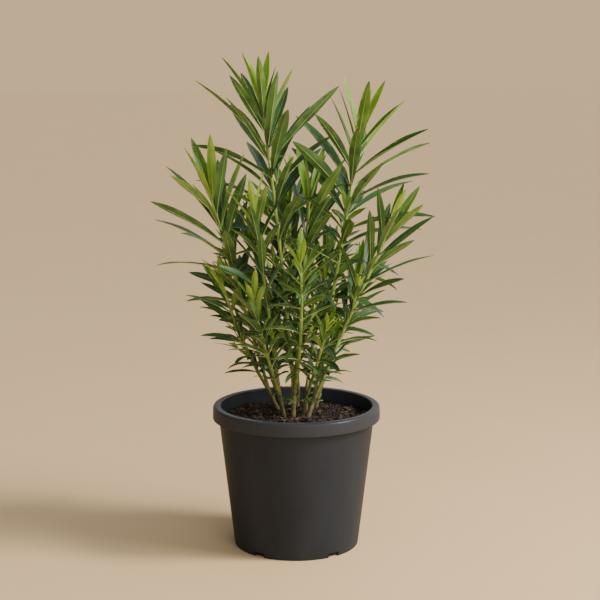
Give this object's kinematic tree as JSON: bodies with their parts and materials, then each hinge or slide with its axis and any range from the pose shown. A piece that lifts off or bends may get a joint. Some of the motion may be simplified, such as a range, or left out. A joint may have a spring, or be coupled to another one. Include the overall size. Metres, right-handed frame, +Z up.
{
  "type": "potted oleander",
  "caption": "Young oleander of several upright canes with whorled narrow leaves, in a round rimmed nursery pot filled with potting soil.",
  "frame": {"origin": "centre of the pot's flat underside, on the surface that the pot stands on", "axes": "+Z up, +X to the right and -Y towards the viewer when the plant is seen from its front"},
  "size_m": [0.4695, 0.3417, 0.8216],
  "materials": {
    "pot": "satin-matte anthracite",
    "soil": "moist bark compost, rough",
    "cane_bark": "smooth young bark with node rings",
    "shoot_bark": "smooth green bark",
    "leaves": "leathery, satin"
  },
  "bodies": {
    "root": {"pot": "pot", "soil": "soil", "cane_centre": "cane_bark", "cane_right": "cane_bark", "cane_left": "cane_bark", "cane_left_rear": "cane_bark", "cane_right_front": "cane_bark", "cane_right_rear": "cane_bark", "cane_rear": "cane_bark", "cane_rear_left": "cane_bark", "cane_rear_right": "cane_bark", "bough_tall_left": "shoot_bark", "foliage_tall_left": "leaves", "bough_tall_right": "shoot_bark", "foliage_tall_right": "leaves", "bough_far_right": "shoot_bark", "foliage_far_right": "leaves", "bough_far_left": "shoot_bark", "foliage_far_left": "leaves", "bough_low_left": "shoot_bark", "foliage_low_left": "leaves", "bough_mid_left": "shoot_bark", "foliage_mid_left": "leaves", "bough_front_left": "shoot_bark", "foliage_front_left": "leaves", "bough_centre": "shoot_bark", "foliage_centre": "leaves", "bough_front": "shoot_bark", "foliage_front": "leaves", "bough_front_right": "shoot_bark", "foliage_front_right": "leaves", "bough_rear_right": "shoot_bark", "foliage_rear_right": "leaves", "bough_rear_centre": "shoot_bark", "foliage_rear_centre": "leaves", "bough_rear_left": "shoot_bark", "foliage_rear_left": "leaves", "bough_back_left": "shoot_bark", "foliage_back_left": "leaves", "bough_back_low": "shoot_bark", "foliage_back_low": "leaves", "bough_back_right": "shoot_bark", "foliage_back_right": "leaves", "bough_back_low_right": "shoot_bark", "foliage_back_low_right": "leaves"}
  },
  "joints": []
}
